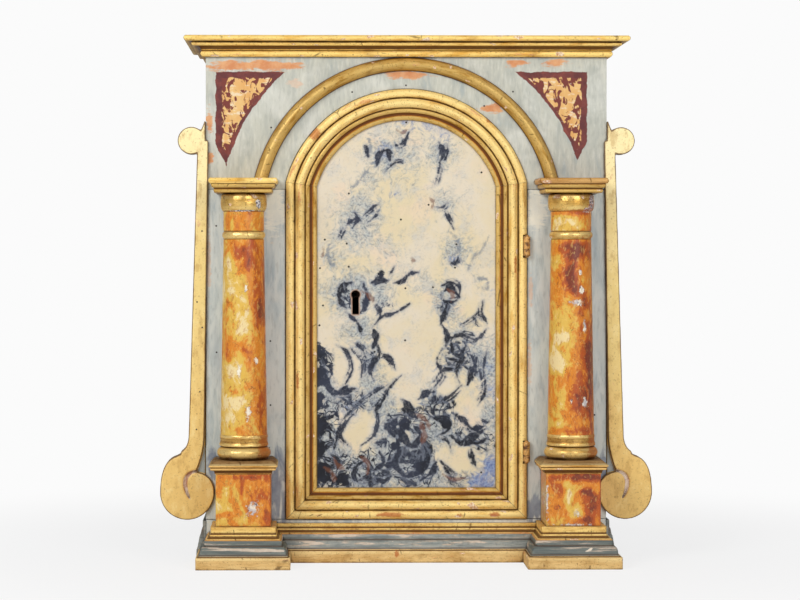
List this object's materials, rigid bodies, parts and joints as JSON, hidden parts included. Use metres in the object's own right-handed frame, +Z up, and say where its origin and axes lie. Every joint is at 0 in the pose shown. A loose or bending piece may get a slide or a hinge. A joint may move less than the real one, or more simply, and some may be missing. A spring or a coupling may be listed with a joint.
{
  "type": "wooden tabernacle",
  "caption": "Painted and gilded wooden altar tabernacle: an arched, locked door between columns, with cornice, moulded base and side scrolls. The door swings and its bolt slides.",
  "frame": {"origin": "on the standing surface, under the middle of the whole object", "axes": "+Z up, +X to the viewer's right, -Y out of the front; the door opens towards -Y"},
  "size_m": [0.5474, 0.2658, 0.5825],
  "materials": {
    "gilded_wood": "worn gold leaf on red bole",
    "painted_wood": "matt grey-blue paint, worn",
    "bare_wood": "bare aged wood",
    "orange_marbled_wood": "painted orange faux marble, waxed",
    "cream_marbled_wood": "painted cream and black faux marble, matt",
    "iron": "old wrought iron, rusty"
  },
  "bodies": {
    "case": {"archivolt_bead": "gilded_wood", "cornice_front": "gilded_wood", "cornice_left": "gilded_wood", "cornice_right": "gilded_wood", "base_front": "gilded_wood", "left_pedestal_base": "gilded_wood", "left_pedestal_cap": "gilded_wood", "left_column_base": "gilded_wood", "left_column_capital": "gilded_wood", "left_abacus": "gilded_wood", "left_scroll": "gilded_wood", "right_pedestal_base": "gilded_wood", "right_pedestal_cap": "gilded_wood", "right_column_base": "gilded_wood", "right_column_capital": "gilded_wood", "right_abacus": "gilded_wood", "right_scroll": "gilded_wood", "spandrel_board": "painted_wood", "left_stile": "painted_wood", "right_stile": "painted_wood", "left_side_board": "painted_wood", "right_side_board": "painted_wood", "base_left": "painted_wood", "base_right": "painted_wood", "sill_rail": "bare_wood", "floor_board": "bare_wood", "top_board": "bare_wood", "back_plank_left": "bare_wood", "back_plank_middle": "bare_wood", "back_plank_right": "bare_wood", "left_pedestal_die": "orange_marbled_wood", "left_column_shaft": "orange_marbled_wood", "right_pedestal_die": "orange_marbled_wood", "right_column_shaft": "orange_marbled_wood", "lock_keeper": "iron", "keeper_nail_1": "iron", "keeper_nail_2": "iron", "upper_hinge_case_leaf": "iron", "upper_hinge_pin": "iron", "lower_hinge_case_leaf": "iron", "lower_hinge_pin": "iron"},
    "door": {"door_arch_moulding": "gilded_wood", "door_left_moulding": "gilded_wood", "door_right_moulding": "gilded_wood", "door_bottom_moulding": "gilded_wood", "door_panel": "cream_marbled_wood", "lock_plate": "iron", "bolt_head_guide": "iron", "bolt_tail_guide": "iron", "bolt_spring": "iron", "key_bridge": "iron", "lock_nail_1": "iron", "lock_nail_2": "iron", "lock_nail_3": "iron", "lock_nail_4": "iron", "upper_hinge_door_leaf": "iron", "lower_hinge_door_leaf": "iron"},
    "bolt": {"lock_bolt": "iron"}
  },
  "joints": [
    {"name": "door_hinge", "type": "hinge", "parent": "case", "child": "door", "pos_m": [0.1335, -0.05615, 0.2355], "axis": [0, 0, 1], "range_deg": [0, 95]},
    {"name": "bolt_slide", "type": "slide", "parent": "door", "child": "bolt", "axis": [-1, 0, 0], "range_m": [0, 0.014]}
  ]
}
